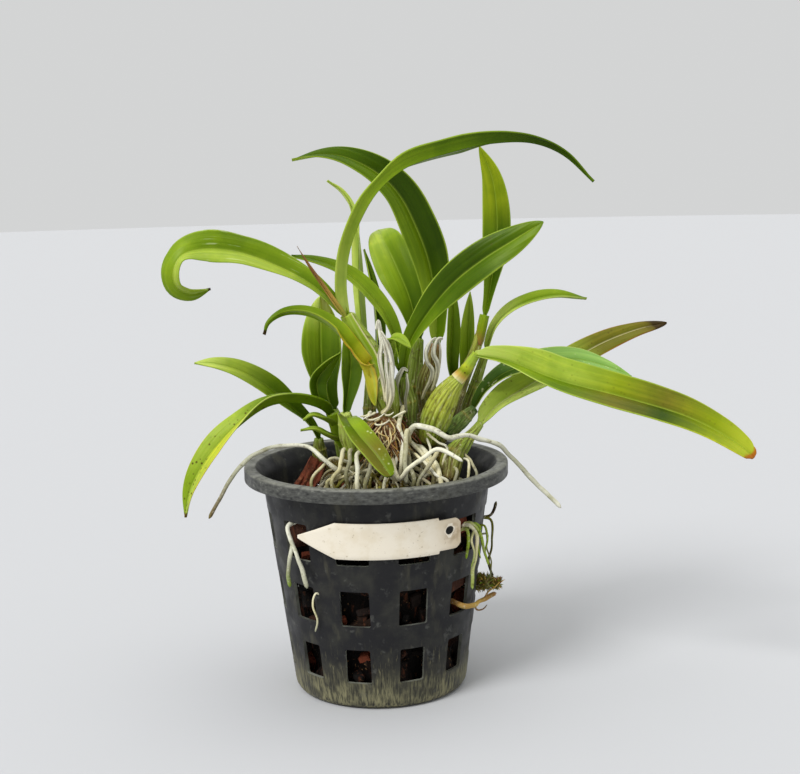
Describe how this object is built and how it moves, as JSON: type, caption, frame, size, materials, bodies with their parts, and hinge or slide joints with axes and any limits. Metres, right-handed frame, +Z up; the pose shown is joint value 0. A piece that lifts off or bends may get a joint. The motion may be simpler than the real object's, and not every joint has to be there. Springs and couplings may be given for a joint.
{
  "type": "potted cattleya orchid",
  "caption": "Young cattleya orchid with strappy arching leaves and ribbed pseudobulbs, rooted in bark in a round plastic pot with slotted sides and a blank plant label.",
  "frame": {"origin": "centre of the pot's flat underside", "axes": "+Z up out of the pot, -Y towards the front of the plant with the label, +X to the right of that front"},
  "size_m": [0.26, 0.1247, 0.261],
  "materials": {
    "pot": "satin",
    "label": "satin",
    "potting_mix": "matte",
    "bark": "matte",
    "rhizome": "matte",
    "pseudobulb": "satin",
    "leaf": "satin",
    "papery_sheath": "matte",
    "dry_bract": "matte",
    "root": "matte",
    "twig": "matte",
    "moss": "matte"
  },
  "bodies": {
    "root": {"bark_chip": "bark", "bark_slab": "bark", "bract_brown": "dry_bract", "bulb_back": "pseudobulb", "bulb_back_left": "pseudobulb", "bulb_big": "pseudobulb", "bulb_front": "pseudobulb", "bulb_low": "pseudobulb", "bulb_middle": "pseudobulb", "bulb_narrow": "pseudobulb", "bulb_old": "pseudobulb", "bulb_teal": "pseudobulb", "dry_root_right": "root", "label": "label", "leaf_arching": "leaf", "leaf_back_left": "leaf", "leaf_big_front": "leaf", "leaf_broad": "leaf", "leaf_brown_tip": "leaf", "leaf_curled": "leaf", "leaf_dark_left": "leaf", "leaf_diagonal": "leaf", "leaf_drooping": "leaf", "leaf_fan_short": "leaf", "leaf_front_bent": "leaf", "leaf_inner": "leaf", "leaf_low_left": "leaf", "leaf_narrow_a": "leaf", "leaf_narrow_b": "leaf", "leaf_recurved": "leaf", "leaf_right_arch": "leaf", "leaf_teal": "leaf", "leaf_thin": "leaf", "leaf_thin_dark": "leaf", "leaf_tiny_lower": "leaf", "leaf_tiny_upper": "leaf", "leaf_upright": "leaf", "leaf_yellowing": "leaf", "leaf_young": "leaf", "moss_clump": "moss", "pot": "pot", "potting_mix": "potting_mix", "rhizome": "rhizome", "roots": "root", "sheath_curved": "papery_sheath", "sheath_grey": "papery_sheath", "sheath_white": "papery_sheath", "stem_fan": "pseudobulb", "stem_far_right": "pseudobulb", "stem_left": "pseudobulb", "stem_right": "pseudobulb", "stem_sheathed": "pseudobulb", "stem_thin": "pseudobulb", "twig": "twig", "window_roots_left": "root", "window_roots_right": "root"}
  },
  "joints": []
}
